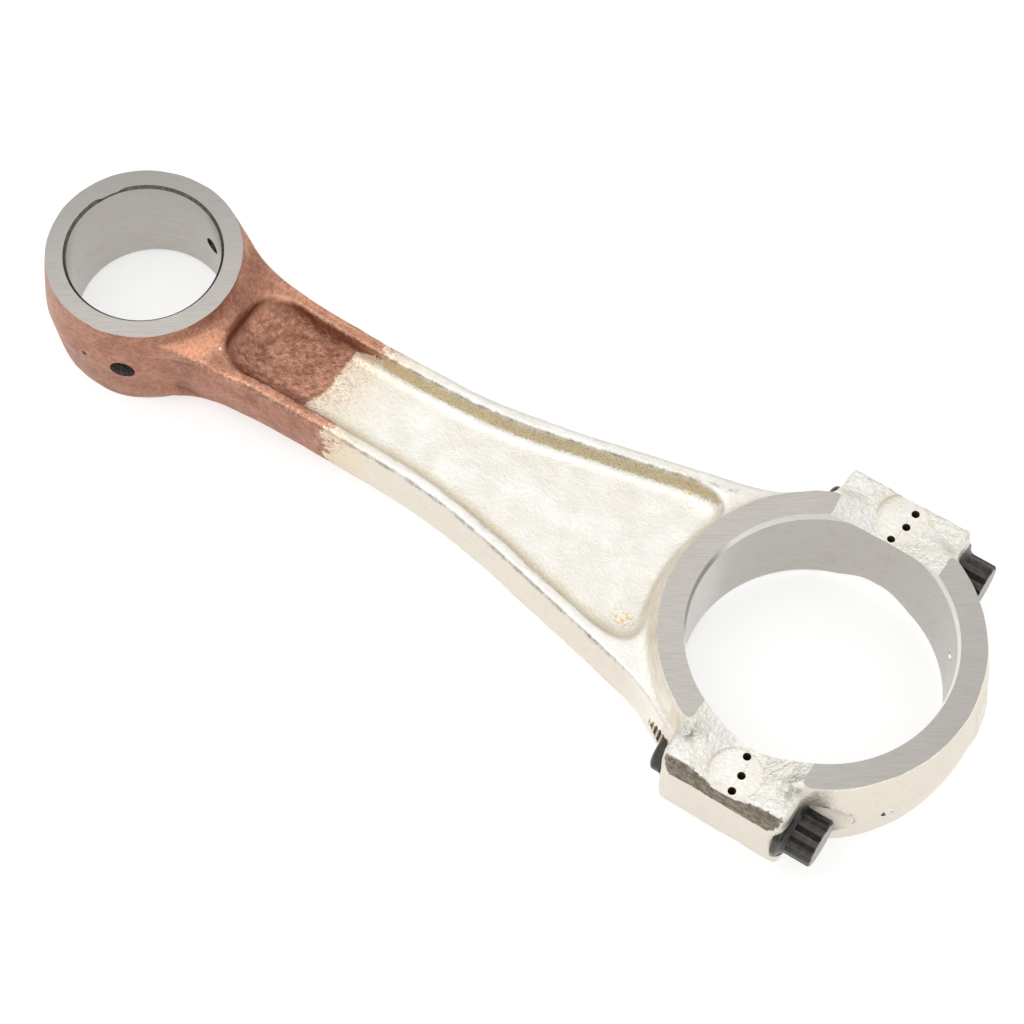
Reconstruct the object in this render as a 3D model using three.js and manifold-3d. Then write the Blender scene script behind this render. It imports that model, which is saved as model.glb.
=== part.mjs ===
// A connecting rod with a split big end: forged I-beam rod, bearing cap and two twelve-point cap bolts.
// Units are millimetres. +Z runs along both bores and +X runs from the small end to the cap.
// The shapes are drawn with the big-end bore centre at the origin, and the group lifts them on to z = 0.
import * as THREE from "three";
import { mergeVertices } from "three/addons/utils/BufferGeometryUtils.js";
import Module from "manifold-3d";

const wasm = await Module();
wasm.setup();

// ---- Driving dimensions ----------------------------------------------------------------------

const centreDistance = 150; // between the two bores

// Small end
const smallBoreR = 14.9;
const smallFaceWidth = 3.95; // ring of ground face round the bore
const smallHeight = 22.6; // over its two faces
const smallChamfer = 0.5;
const oilHoleInnerR = 1.75;
const oilHoleOuterR = 2.5;
const oilHoleAngle = THREE.MathUtils.degToRad(69); // from the rod's axis, one each side

// Big end
const bigBoreR = 24.45;
const thrustFaceWidth = 5.15; // ring of ground face round the bore
const bigHeight = 23.1; // over its two thrust faces
const bigChamferWidth = 0.45;
const bigChamferDepth = 1.35;
const bigWallCrown = 0.6; // how far the big end's wall bulges past its draft at mid-height
const forgingDraft = THREE.MathUtils.degToRad(6); // slope of the forged walls on both sides of mid-height

// Bolt bosses, one each side of the big end
const boltR = 4; // over the thread
const boltBoreWall = 1.75; // between the big-end bore and the bolt hole
const bossOuterWall = 1.5; // outside the bolt hole
const bossBack = 13; // from the split line back along the rod
const bossFront = 12.8; // from the split line out along the cap
const bossHeight = 19.8;
const bossEdgeHeight = 11.2; // height of the upright part of the boss's side
const bossEdgeChamfer = 1.6; // along the boss's outer side and its cap end
const bossBackChamfer = 2;
const bossCornerR = 2.6;
const bossTipLean = 0.35; // how far the upright part of the side leans out to mid-height

// The dip between the two thrust faces, where the cap is split from the rod
const dipHalfFloor = 2.5;
const dipHalfWidth = 11.2;
const dipFloorHeight = 17;
const padR = 5;
const padHeight = 16.5;
const markHoleR = 0.65;
const markHoleDepth = 3;
const markHoleCount = 3;
const markHolePitch = 3.5;
const markHoleInset = 0.7; // how much nearer to the bore than the bolt the row's middle is

// Split between the rod and its cap
const splitX = 0.9;
const splitGap = 0.1;

// Shank
const shankHeight = 12;
const webThickness = 4;
const rampLength = 11; // the shank rises over this length to meet the small-end eye
const rampDrop = 1.2; // how far below the small-end face the rise stops
const neckHalfWidth = 11.5; // the narrowest place, near the small end
const neckAt = 42; // its distance from the small-end centre
const neckLeaveAngle = THREE.MathUtils.degToRad(54); // where the shank's side leaves the small-end eye
const flareLength = 7; // from the boss's back to where the shank's side reaches the bolt
const taperStart = 0.36; // how far along the shank its side stays straight, as a share of its length
const taperEnd = 0.6; // where it starts to turn towards the bolt
const taperRise = 0.28; // how much of its widening is done by then
const flangeWidth = 2.9;
const pocketWallLean = 0.9; // how far the pocket's wall leans in by its floor
const pocketStartRound = 7; // rounding of the pocket's corners at the small end
const pocketEndRound = 5; // and at the big end
const pocketStartWall = 1; // between the small-end eye's wall and the pocket
const pocketEndOverlap = 2.5; // how far the pocket's outline runs into the big-end eye
const pocketEndBulge = 0.7; // how far its corners there swing out

// Cap bolts
const threadClearance = 0.3; // radial, between a bolt and its hole
const capHoleClearance = 0.35; // radial, between the thread and the cap's hole
const seatFromSplit = 10.2;
const seatGap = 0.1;
const seatOverlap = 1.8; // how far the bolt's flange bears on the cap, outside the hole
const seatClearance = 0.8; // round the flange, in the spot-faced seat
const flangeThickness = 1.25;
const headFilletHeight = 1.1;
const headCornerR = 4.65;
const headHeight = 7.45; // over the flange and the twelve-point part
const headEdgeBevel = 0.4;
const threadLength = 15.6; // past the split line, into the rod
const tappedRunout = 0.5; // how far the tapped hole runs past the flare
const boltPointBevel = 0.7;
const seatCutterLength = 30;

// Raised pad on the crown of the cap
const crownPadWidth = 6.5;
const crownPadHeight = 13;
const crownPadProud = 0.35;
const crownPadAngle = THREE.MathUtils.degToRad(12);
const crownPadDepth = 4; // into the cap's wall

// Facets in one full turn
const boreSegments = 72;
const wallSegments = 72;
const boltSegments = 32;
const holeSegments = 16;

// ---- Sizes that follow from them -------------------------------------------------------------

const smallFaceR = smallBoreR + smallFaceWidth;
const smallWallR = smallFaceR + (smallHeight / 2) * Math.tan(forgingDraft);
const thrustFaceR = bigBoreR + thrustFaceWidth;
const bigWallR = thrustFaceR + (bigHeight / 2) * Math.tan(forgingDraft) + bigWallCrown;
const boltY = bigBoreR + boltBoreWall + boltR;
const bossY = boltY + boltR + bossOuterWall;
const capHoleR = boltR + capHoleClearance;
const flangeR = capHoleR + seatOverlap;
const seatCutterR = flangeR + seatClearance;
const seatX = splitX + seatFromSplit;
const boltEndX = splitX - threadLength;
const smallEndX = -centreDistance;
const cutterReach = 5; // how far a cutter runs past the face it opens

// ---- Building blocks -------------------------------------------------------------------------

// A closed geometry as a solid that can be joined and cut.
function solid(geometry) {
  const bare = new THREE.BufferGeometry();
  bare.setAttribute("position", geometry.getAttribute("position"));
  bare.setIndex(geometry.index);
  const merged = mergeVertices(bare, 1e-4);
  const corners = Array.from(merged.index.array);
  const triVerts = [];
  for (let i = 0; i < corners.length; i += 3) {
    const [a, b, c] = corners.slice(i, i + 3);
    if (a !== b && b !== c && c !== a) triVerts.push(a, b, c);
  }
  const mesh = new wasm.Mesh({
    numProp: 3,
    vertProperties: new Float32Array(merged.getAttribute("position").array),
    triVerts: new Uint32Array(triVerts),
  });
  return new wasm.Manifold(mesh);
}

// A profile of [radius, height] pairs turned about Z, listed from the bottom to the top.
function turned(profile, segments) {
  const points = profile.map(([r, z]) => new THREE.Vector2(r, z));
  return new THREE.LatheGeometry(points, segments).rotateX(Math.PI / 2);
}

// The same about X: [radius, x] pairs listed along +X.
function turnedAlongX(profile, segments) {
  const points = profile.map(([r, x]) => new THREE.Vector2(r, x));
  return new THREE.LatheGeometry(points, segments).rotateZ(-Math.PI / 2);
}

function outline(points) {
  return new THREE.Shape(points.map(([u, v]) => new THREE.Vector2(u, v)));
}

function extruded(shape, depth, options = {}) {
  return new THREE.ExtrudeGeometry(shape, { depth, bevelEnabled: false, curveSegments: 10, ...options });
}

// A plan outline (x, y) between two heights.
function prismZ(shape, z0, z1, options) {
  return solid(extruded(shape, z1 - z0, options).translate(0, 0, z0));
}

// A side outline (x, z) across the part from y0 to y1.
function prismY(shape, y0, y1) {
  return solid(extruded(shape, y1 - y0).rotateX(Math.PI / 2).translate(0, y1, 0));
}

// A section (y, z) along the part from x0 to x1.
function prismX(shape, x0, x1) {
  const alongX = new THREE.Matrix4().makeBasis(
    new THREE.Vector3(0, 1, 0),
    new THREE.Vector3(0, 0, 1),
    new THREE.Vector3(1, 0, 0),
  );
  return solid(extruded(shape, x1 - x0).applyMatrix4(alongX).translate(x0, 0, 0));
}

function joined(solids) {
  return solids.reduce((sum, next) => sum.add(next));
}

function cut(from, cutters) {
  return cutters.reduce((rest, cutter) => rest.subtract(cutter), from);
}

// The +Y half of an outline, from its -X end to its +X end, closed with its mirror image.
function mirroredOutline(upper) {
  const lower = upper.map((p) => new THREE.Vector2(p.x, -p.y)).reverse();
  const all = [...lower, ...upper];
  const distinct = all.filter((p, i) => p.distanceTo(all[(i + 1) % all.length]) > 1e-3);
  return new THREE.Shape(distinct);
}

function bareMesh(name, made, material) {
  const { numProp, vertProperties, triVerts } = made.getMesh();
  const geometry = new THREE.BufferGeometry();
  const positions = new THREE.InterleavedBuffer(vertProperties, numProp);
  geometry.setAttribute("position", new THREE.InterleavedBufferAttribute(positions, 3, 0));
  geometry.setIndex(new THREE.BufferAttribute(triVerts, 1));
  geometry.computeVertexNormals();
  const mesh = new THREE.Mesh(geometry, material);
  mesh.name = name;
  return mesh;
}

// ---- Forged blanks ---------------------------------------------------------------------------

// A forged eye: flat ground faces, and a wall that slopes out to its widest at mid-height.
function eye(faceR, wallR, height) {
  const profile = [
    [0, -height / 2],
    [faceR, -height / 2],
    [wallR, 0],
    [faceR, height / 2],
    [0, height / 2],
  ];
  return turned(profile, wallSegments);
}

const neckX = smallEndX + neckAt;
const flareX = -(bossBack + flareLength);
const flareY = boltY - boltR;

// Half width of the shank's side, from the small-end eye along to the bolt boss.
function shankSide() {
  const leaveX = smallEndX + smallFaceR * Math.cos(neckLeaveAngle);
  const leaveY = smallFaceR * Math.sin(neckLeaveAngle);
  const towardsNeck = (neckX - leaveX) / 3;
  const taper = flareX - neckX;
  const side = new THREE.Path();
  side.moveTo(smallEndX, 0);
  side.lineTo(leaveX, leaveY);
  side.bezierCurveTo(
    leaveX + towardsNeck * Math.sin(neckLeaveAngle),
    leaveY - towardsNeck * Math.cos(neckLeaveAngle),
    neckX - towardsNeck,
    neckHalfWidth,
    neckX,
    neckHalfWidth,
  );
  side.bezierCurveTo(
    neckX + taper * taperStart,
    neckHalfWidth,
    neckX + taper * taperEnd,
    THREE.MathUtils.lerp(neckHalfWidth, flareY, taperRise),
    flareX,
    flareY,
  );
  side.lineTo(-bossBack, boltY);
  side.lineTo(0, boltY);
  side.lineTo(0, 0);
  return side.getPoints(12);
}

function shankBlank() {
  const plan = prismZ(mirroredOutline(shankSide()), -smallHeight / 2, smallHeight / 2);
  const eyeHalf = smallHeight / 2;
  const half = shankHeight / 2;
  const rampX = smallEndX + smallFaceR;
  const side = mirroredOutline([
    new THREE.Vector2(smallEndX, 0),
    new THREE.Vector2(smallEndX, eyeHalf - rampDrop),
    new THREE.Vector2(rampX - rampLength / 3, eyeHalf - rampDrop),
    new THREE.Vector2(rampX, THREE.MathUtils.lerp(half, eyeHalf, 0.5)),
    new THREE.Vector2(rampX + rampLength / 3, THREE.MathUtils.lerp(half, eyeHalf, 0.2)),
    new THREE.Vector2(rampX + rampLength, half),
    new THREE.Vector2(0, half),
    new THREE.Vector2(0, 0),
  ]);
  return plan.intersect(prismY(side, -bossY, bossY));
}

// Half width of the shank's side at a place along the rod.
function sideAt(x) {
  const side = shankSide();
  const next = side.findIndex((p) => p.x > x);
  const along = (x - side[next - 1].x) / (side[next].x - side[next - 1].x);
  return THREE.MathUtils.lerp(side[next - 1].y, side[next].y, along);
}

// The shank's pocket runs from the small-end eye to the big-end eye, a flange's width inside the side.
function pocketOutline() {
  const startX = smallEndX + smallWallR + pocketStartWall;
  const endX = -(bigWallR - pocketEndOverlap);
  const sideStart = startX + pocketStartRound;
  const sideEnd = endX - pocketEndRound;
  const startY = sideAt(sideStart) - flangeWidth;
  const endY = sideAt(sideEnd) - flangeWidth;
  const start = new THREE.Path();
  start.moveTo(startX, 0);
  start.lineTo(startX, startY - pocketStartRound);
  start.quadraticCurveTo(startX, startY, sideStart, startY);
  const along = shankSide().filter((p) => p.x > sideStart + 1 && p.x < sideEnd - 1);
  const inner = along.map((p) => new THREE.Vector2(p.x, p.y - flangeWidth));
  const finish = new THREE.Path();
  finish.moveTo(sideEnd, endY);
  finish.quadraticCurveTo(endX, endY + pocketEndBulge, endX + 1, endY - pocketEndRound);
  finish.lineTo(endX + 1, 0);
  return mirroredOutline([...start.getPoints(6), ...inner, ...finish.getPoints(6)]);
}

// One pocket, above (side = 1) or below (side = -1) the web, with walls that lean in towards its floor.
function pocket(side) {
  const lean = {
    bevelEnabled: true,
    bevelSegments: 1,
    bevelThickness: (smallHeight - webThickness) / 2,
    bevelSize: -pocketWallLean,
    bevelOffset: 0,
  };
  const floor = webThickness / 2;
  const geometry = extruded(pocketOutline(), 1, lean).translate(0, 0, smallHeight / 2);
  const above = solid(geometry);
  if (side > 0) return above.intersect(slab(floor, smallHeight));
  return solid(geometry.clone().rotateX(Math.PI)).intersect(slab(-smallHeight, -floor));
}

// A slab of space between two heights, wider than the whole part.
function slab(z0, z1) {
  const reach = centreDistance + bossY + smallWallR;
  return solid(new THREE.BoxGeometry(2 * reach, 2 * reach, z1 - z0).translate(0, 0, (z0 + z1) / 2));
}

// The bar that carries both bolts across the big end.
function bossBar() {
  const half = bossHeight / 2;
  const edge = bossEdgeHeight / 2;
  const section = outline([
    [-bossY, -edge],
    [-bossY + bossEdgeChamfer, -half],
    [bossY - bossEdgeChamfer, -half],
    [bossY, -edge],
    [bossY, edge],
    [bossY - bossEdgeChamfer, half],
    [-bossY + bossEdgeChamfer, half],
    [-bossY, edge],
  ]);
  const side = outline([
    [-bossBack, 0],
    [-bossBack + bossTipLean, -edge],
    [-bossBack + bossBackChamfer, -half],
    [bossFront - bossEdgeChamfer, -half],
    [bossFront - bossTipLean, -edge],
    [bossFront, 0],
    [bossFront - bossTipLean, edge],
    [bossFront - bossEdgeChamfer, half],
    [-bossBack + bossBackChamfer, half],
    [-bossBack + bossTipLean, edge],
  ]);
  const corner = new THREE.Path();
  corner.moveTo(-bossBack, 0);
  corner.lineTo(-bossBack, bossY - bossCornerR);
  corner.absarc(-bossBack + bossCornerR, bossY - bossCornerR, bossCornerR, Math.PI, Math.PI / 2, true);
  corner.absarc(bossFront - bossCornerR, bossY - bossCornerR, bossCornerR, Math.PI / 2, 0, true);
  corner.lineTo(bossFront, 0);
  return prismX(section, -bossBack - 1, bossFront + 1)
    .intersect(prismY(side, -bossY - 1, bossY + 1))
    .intersect(prismZ(mirroredOutline(corner.getPoints(3)), -half - 1, half + 1));
}

function crownPad() {
  const box = new THREE.BoxGeometry(crownPadDepth, crownPadWidth, crownPadHeight);
  box.translate(bigWallR + crownPadProud - crownPadDepth / 2, 0, 0).rotateZ(crownPadAngle);
  return solid(box);
}

// ---- Cutters ---------------------------------------------------------------------------------

// A bore with a chamfer at each end.
function boreCutter(r, height, chamferWidth, chamferDepth) {
  const face = height / 2;
  const profile = [
    [0, -face - cutterReach],
    [r + chamferWidth, -face - cutterReach],
    [r + chamferWidth, -face],
    [r, -face + chamferDepth],
    [r, face - chamferDepth],
    [r + chamferWidth, face],
    [r + chamferWidth, face + cutterReach],
    [0, face + cutterReach],
  ];
  return turned(profile, boreSegments);
}

// The dip in one face of the big end (side = 1 above, -1 below), over both bosses.
function dipCutter(side) {
  const floor = dipFloorHeight / 2;
  const top = bigHeight / 2;
  const slope = (top - floor) / (dipHalfWidth - dipHalfFloor);
  const reach = dipHalfWidth + cutterReach;
  const high = top + slope * cutterReach;
  const corners = [
    [-dipHalfFloor, floor],
    [dipHalfFloor, floor],
    [reach, high],
    [-reach, high],
  ];
  const facing = side > 0 ? corners : corners.map(([x, z]) => [x, -z]).reverse();
  return prismY(outline(facing), -bossY - cutterReach, bossY + cutterReach);
}

// A round pad faced into the dip above a bolt, and the row of small holes in it.
function padCutters(boltSide) {
  const top = padHeight / 2;
  const cutters = [];
  for (const face of [1, -1]) {
    const pad = new THREE.CylinderGeometry(padR, padR, cutterReach, boltSegments).rotateX(Math.PI / 2);
    cutters.push(solid(pad.translate(0, boltSide * boltY, face * (top + cutterReach / 2))));
  }
  for (let i = 0; i < markHoleCount; i++) {
    const across = boltY - markHoleInset + (i - (markHoleCount - 1) / 2) * markHolePitch;
    const hole = new THREE.CylinderGeometry(markHoleR, markHoleR, 2 * markHoleDepth, holeSegments);
    cutters.push(solid(hole.rotateX(Math.PI / 2).translate(splitX, boltSide * across, top)));
  }
  return cutters;
}

// A tapered oil hole through the small-end wall.
function oilHoleCutter(boltSide) {
  const profile = [
    [0, smallBoreR - 2],
    [oilHoleInnerR, smallBoreR - 2],
    [oilHoleInnerR, smallBoreR + 1],
    [oilHoleOuterR, smallWallR],
    [oilHoleOuterR, smallWallR + cutterReach],
    [0, smallWallR + cutterReach],
  ];
  const hole = turnedAlongX(profile, holeSegments).rotateZ(boltSide * oilHoleAngle);
  return solid(hole.translate(smallEndX, 0, 0));
}

// The straight hole for one bolt, from x0 to x1.
function boltHole(boltSide, r, x0, x1) {
  const profile = [
    [0, x0],
    [r, x0],
    [r, x1],
    [0, x1],
  ];
  return solid(turnedAlongX(profile, boltSegments).translate(0, boltSide * boltY, 0));
}

// ---- The four pieces -------------------------------------------------------------------------

function halfSpace(x0, x1) {
  const reach = 2 * bossY;
  return solid(new THREE.BoxGeometry(x1 - x0, reach * 2, reach * 2).translate((x0 + x1) / 2, 0, 0));
}

const bigEye = solid(eye(thrustFaceR, bigWallR, bigHeight));
const bigEndBlank = bigEye.add(bossBar());
const bigEndCutters = [
  solid(boreCutter(bigBoreR, bigHeight, bigChamferWidth, bigChamferDepth)),
  dipCutter(1),
  dipCutter(-1),
  ...padCutters(1),
  ...padCutters(-1),
];

function rod() {
  const smallEye = solid(eye(smallFaceR, smallWallR, smallHeight).translate(smallEndX, 0, 0));
  const smallBore = boreCutter(smallBoreR, smallHeight, smallChamfer, smallChamfer);
  const shank = cut(shankBlank(), [pocket(1), pocket(-1)]);
  const blank = joined([shank, smallEye, bigEndBlank]);
  const cutters = [
    solid(smallBore.translate(smallEndX, 0, 0)),
    ...bigEndCutters,
    halfSpace(splitX - splitGap / 2, bigWallR + bossY),
  ];
  for (const side of [1, -1]) {
    cutters.push(oilHoleCutter(side));
    cutters.push(boltHole(side, boltR, flareX - tappedRunout, bossFront));
  }
  return cut(blank, cutters);
}

function cap() {
  const blank = joined([bigEndBlank, crownPad()]);
  const cutters = [...bigEndCutters, halfSpace(-bigWallR - bossY, splitX + splitGap / 2)];
  for (const side of [1, -1]) {
    cutters.push(boltHole(side, capHoleR, -bossBack, bossFront + 1));
    cutters.push(boltHole(side, seatCutterR, seatX, seatX + seatCutterLength));
  }
  return cut(blank, cutters);
}

// The double-hexagon outline of the head, as (y, z).
function twelvePoints() {
  const notchR = (headCornerR * Math.cos(Math.PI / 6)) / Math.cos(Math.PI / 12);
  const points = [];
  for (let i = 0; i < 24; i++) {
    const angle = (i * Math.PI) / 12;
    const r = i % 2 ? notchR : headCornerR;
    points.push([r * Math.cos(angle), r * Math.sin(angle)]);
  }
  return outline(points);
}

function bolt() {
  const underHead = seatX + seatGap;
  const flangeTop = underHead + flangeThickness;
  const headEnd = underHead + headHeight;
  const shankR = boltR - threadClearance;
  const body = turnedAlongX(
    [
      [0, boltEndX],
      [shankR - boltPointBevel, boltEndX],
      [shankR, boltEndX + boltPointBevel],
      [shankR, underHead],
      [flangeR, underHead],
      [flangeR, flangeTop],
      [headCornerR, flangeTop + headFilletHeight],
      [0, flangeTop + headFilletHeight],
    ],
    boltSegments,
  );
  const bevelled = turnedAlongX(
    [
      [0, underHead + flangeThickness / 2],
      [headCornerR + 0.1, underHead + flangeThickness / 2],
      [headCornerR + 0.1, headEnd - headEdgeBevel],
      [headCornerR + 0.1 - headEdgeBevel * 1.5, headEnd],
      [0, headEnd],
    ],
    boltSegments,
  );
  const star = prismX(twelvePoints(), underHead + flangeThickness / 2, headEnd);
  return solid(body).add(star.intersect(solid(bevelled)));
}

// ---- Assembly --------------------------------------------------------------------------------

const forging = { roughness: 0.55, metalness: 0.7 };
const rodMaterial = new THREE.MeshStandardMaterial({ color: 0xd8cdbb, ...forging });
const capMaterial = new THREE.MeshStandardMaterial({ color: 0xe2dacb, ...forging });

function boltMaterial() {
  return new THREE.MeshStandardMaterial({ color: 0x2b2a2c, roughness: 0.45, metalness: 0.6 });
}

const rest = new THREE.Group();
rest.add(bareMesh("rod", rod(), rodMaterial));
rest.add(bareMesh("cap", cap(), capMaterial));

const bolts = { bolt_left: 1, bolt_right: -1 };
for (const [name, side] of Object.entries(bolts)) {
  const mesh = bareMesh(name, bolt(), boltMaterial());
  mesh.position.y = side * boltY;
  rest.add(mesh);
}

// The origin is the middle of the space the rod takes up on a bench, at the height it rests on.
const box = new THREE.Box3().setFromObject(rest);
rest.position.set(-(box.min.x + box.max.x) / 2, 0, bigHeight / 2);

const connectingRod = new THREE.Group();
connectingRod.add(rest);
export default connectingRod;
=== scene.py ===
"""A forged connecting rod with a split big end: plated rod and cap, and two twelve-point cap bolts.

The shapes are worked out in millimetres in the rod's own axes: the big-end bore's centre is the origin,
+X points to the cap and +Z runs along the bores. ORIGIN puts them in the frame, in metres.
"""
import itertools
import math

import bpy
import numpy as np
from mathutils import Matrix, Vector


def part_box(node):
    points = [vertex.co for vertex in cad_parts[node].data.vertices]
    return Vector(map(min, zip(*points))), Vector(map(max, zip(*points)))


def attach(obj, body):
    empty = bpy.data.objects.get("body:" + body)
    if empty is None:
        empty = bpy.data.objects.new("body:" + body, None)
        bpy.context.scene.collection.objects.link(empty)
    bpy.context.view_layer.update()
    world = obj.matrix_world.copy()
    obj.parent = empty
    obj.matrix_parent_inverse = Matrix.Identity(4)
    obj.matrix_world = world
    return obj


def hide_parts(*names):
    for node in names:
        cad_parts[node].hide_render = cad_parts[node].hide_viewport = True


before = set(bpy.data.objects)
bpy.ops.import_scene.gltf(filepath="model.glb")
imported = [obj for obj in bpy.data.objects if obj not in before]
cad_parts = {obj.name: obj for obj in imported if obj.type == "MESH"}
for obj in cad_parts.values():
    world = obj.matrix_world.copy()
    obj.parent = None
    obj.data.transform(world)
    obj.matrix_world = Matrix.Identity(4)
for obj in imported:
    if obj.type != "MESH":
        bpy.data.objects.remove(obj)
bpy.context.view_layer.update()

MM = 0.001

# ---- Sizes, in millimetres ----------------------------------------------------------------------

CENTRE_DISTANCE = 150.0
SMALL_BORE_R, SMALL_WALL_R = 14.9, 20.02
SMALL_FACE_Z, SMALL_CHAMFER = 11.3, 0.55
SMALL_GAP = (141, 161)  # degrees between which the upper chamfer nearly fades out
BIG_BORE_R, BIG_FACE_R, BIG_WALL_R = 24.45, 29.9, 31.35
BIG_FACE_Z, BIG_CHAMFER, BIG_CHAMFER_DEEP = 11.55, 0.45, 1.35
SHANK_HALF_Z, WEB_HALF_Z = 6.0, 2.0
NECK_HALF_Y, FLANGE = 11.6, 2.95
BOLT_Y, BOLT_R, PITCH = 30.2, 3.95, 1.0
BOSS_BACK, BOSS_FRONT, BOSS_Y = -13.1, 12.8, 35.75
BOSS_TOP_Z, BOSS_SIDE_Z = 9.95, 5.6
PAD_R, PAD_Z, MARK_R = 5.0, 8.25, 0.78
SPLIT_X, SEAT_X = 0.9, 11.1
CAP_HOLE_R, SEAT_R = 4.35, 6.95
BOLT_END_X, HEAD_END_X = -15.4, 18.6
COPPER_END_X = -101.0
OIL_ANGLE = math.radians(69)
SMALL_X = -CENTRE_DISTANCE

rod_low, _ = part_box("rod")
cap_low, cap_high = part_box("cap")
ORIGIN = Vector((rod_low.x + (SMALL_WALL_R + CENTRE_DISTANCE) * MM, 0, (cap_low.z + cap_high.z) / 2))


# ---- Smooth solids as fields: negative inside, in millimetres -----------------------------------


def smooth_max(a, b, k):
    h = np.maximum(k - np.abs(a - b), 0) / k
    return np.maximum(a, b) + h * h * k / 4


def smooth_min(a, b, k):
    return -smooth_max(-a, -b, k)


def bend(x, start, slope, softness):
    """0 before start, then rising at slope."""
    return slope * softness * np.logaddexp(0, (x - start) / softness)


def smoothstep(x, low, high):
    t = np.clip((x - low) / (high - low), 0, 1)
    return t * t * (3 - 2 * t)


class Lumps:
    """Smooth random values between -1 and 1 that repeat far outside the part."""

    SIDE = 64

    def __init__(self, seed):
        self.table = np.random.default_rng(seed).uniform(-1, 1, (self.SIDE,) * 3).astype(np.float32)

    def __call__(self, x, y, z, size):
        cells, shares = [], []
        for p in (x, y, z):
            low = np.floor(p / size)
            t = p / size - low
            cells.append(low.astype(np.int32))
            shares.append((t * t * (3 - 2 * t)).astype(np.float32))
        total = 0
        for corner in itertools.product((0, 1), repeat=3):
            weight = 1
            for step, t in zip(corner, shares):
                weight = weight * (t if step else 1 - t)
            i, j, k = ((c + step) % self.SIDE for c, step in zip(cells, corner))
            total = total + weight * self.table[i, j, k]
        return total


hammer = Lumps(3)
grain = Lumps(8)


def shank_half_width(x):
    taper = bend(x, -76, 0.235, 6)
    flare = bend(x, -24, 0.35, 2)
    neck = bend(-x, 118, 0.14, 3)
    return NECK_HALF_Y + taper + flare + neck


def valley_height(x):
    """The dip in the big end's two faces, where the cap is split off."""
    return 8.45 + bend(np.abs(x), 2.6, 0.352, 0.5)


def pocket(x, y, big_rho):
    """The shank's pocket in plan."""
    side = (np.abs(y) - (shank_half_width(x) - FLANGE)) * 0.97
    start = SMALL_X + 20.9 - x
    ends = smooth_max(side, start, 9.0)
    return smooth_max(ends, BIG_WALL_R - 0.2 - big_rho, 12.0)


def big_eye(x, y, z, rho):
    height = np.abs(z)
    wall = BIG_WALL_R - 1.65 * (height / BIG_FACE_Z) ** 1.5
    turn = np.arctan2(y, x)
    pad_width = 3.2 - np.abs(turn - math.radians(12)) * BIG_WALL_R
    pad = np.clip(np.minimum(pad_width, 6.6 - height) * 2.5, 0, 1) * 0.35
    return smooth_max(rho - wall - pad, height - BIG_FACE_Z - 1, 1.2)


def small_eye(x, y, z):
    height = np.abs(z)
    wall = SMALL_WALL_R - 1.17 * (height / SMALL_FACE_Z) ** 1.15
    return smooth_max(np.hypot(x - SMALL_X, y) - wall, height - SMALL_FACE_Z - 1, 1)


def boss(x, y, z):
    height, side = np.abs(z), np.abs(y)
    lean = 0.1 * np.maximum(height - BOSS_SIDE_Z, 0)
    middle, half = (BOSS_FRONT + BOSS_BACK) / 2, (BOSS_FRONT - BOSS_BACK) / 2
    corner = 3.4
    across = np.maximum(np.abs(x - middle) - half + corner + lean, 0)
    out = np.maximum(side - BOSS_Y + corner, 0)
    plan = np.hypot(across, out) - corner
    square = np.maximum(np.abs(x - middle) - half + lean, side - BOSS_Y)
    plan = np.where((across > 0) & (out > 0), plan, square)
    top = smooth_max(height - BOSS_TOP_Z, plan, 0.9)
    band = ((side - BOSS_Y) * 0.915 + (height - BOSS_SIDE_Z) * 0.404) - 0.02
    return smooth_max(top, band, 0.3)


def shank(x, y, z, big_rho):
    height = np.abs(z)
    side = (np.abs(y) - shank_half_width(x) + 0.085 * height) * 0.985
    top = SHANK_HALF_Z + 1.1 * smoothstep(x, -123, -131)
    bar = smooth_max(side, height - top, 0.9)
    bar = smooth_max(smooth_max(bar, x + 12, 1), SMALL_X + 6 - x, 1)
    lean = 0.2 * (height - SHANK_HALF_Z)
    fillet = 2.4 + 5.5 * smoothstep(x, -116, -127)
    hollow = smooth_max(pocket(x, y, big_rho) - lean, WEB_HALF_Z - height, fillet)
    return smooth_max(bar, -hollow, 0.6)


def forging(x, y, z):
    """The whole forging, before the cap is split off and before any cut."""
    rho = np.hypot(x, y)
    neck = 3.4 + 2.8 * smoothstep(np.abs(z), 4.5, 6.5)
    body = smooth_min(shank(x, y, z, rho), small_eye(x, y, z), neck)
    eye = smooth_min(big_eye(x, y, z, rho), boss(x, y, z), 1.8)
    body = smooth_min(body, eye, 2.6)
    valley = valley_height(x) + 0.6 * smoothstep(np.abs(y), 32.4, 35.2)
    body = smooth_max(body, (np.abs(z) - valley) * 0.95, 1.0)
    rough = 0.05 * hammer(x, y, z, 2.3) + 0.07 * grain(x, y, z, 6.0)
    crinkle = smoothstep(np.abs(x), 14, 10) * smoothstep(np.abs(z), 7, 8.2) * 0.07
    wrinkle = smoothstep(x, -102, -110) * smoothstep(np.abs(z), 5.0, 3.0)
    wrinkle *= smoothstep(np.abs(y), 10, 8) * 0.06
    return body + rough + (crinkle + wrinkle) * grain(x, y, z, 0.95)


def slope_of(field, points, step=0.03):
    axes = np.eye(3) * step
    return np.stack([field(*(points + a).T) - field(*(points - a).T) for a in axes], 1) / (2 * step)


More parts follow.
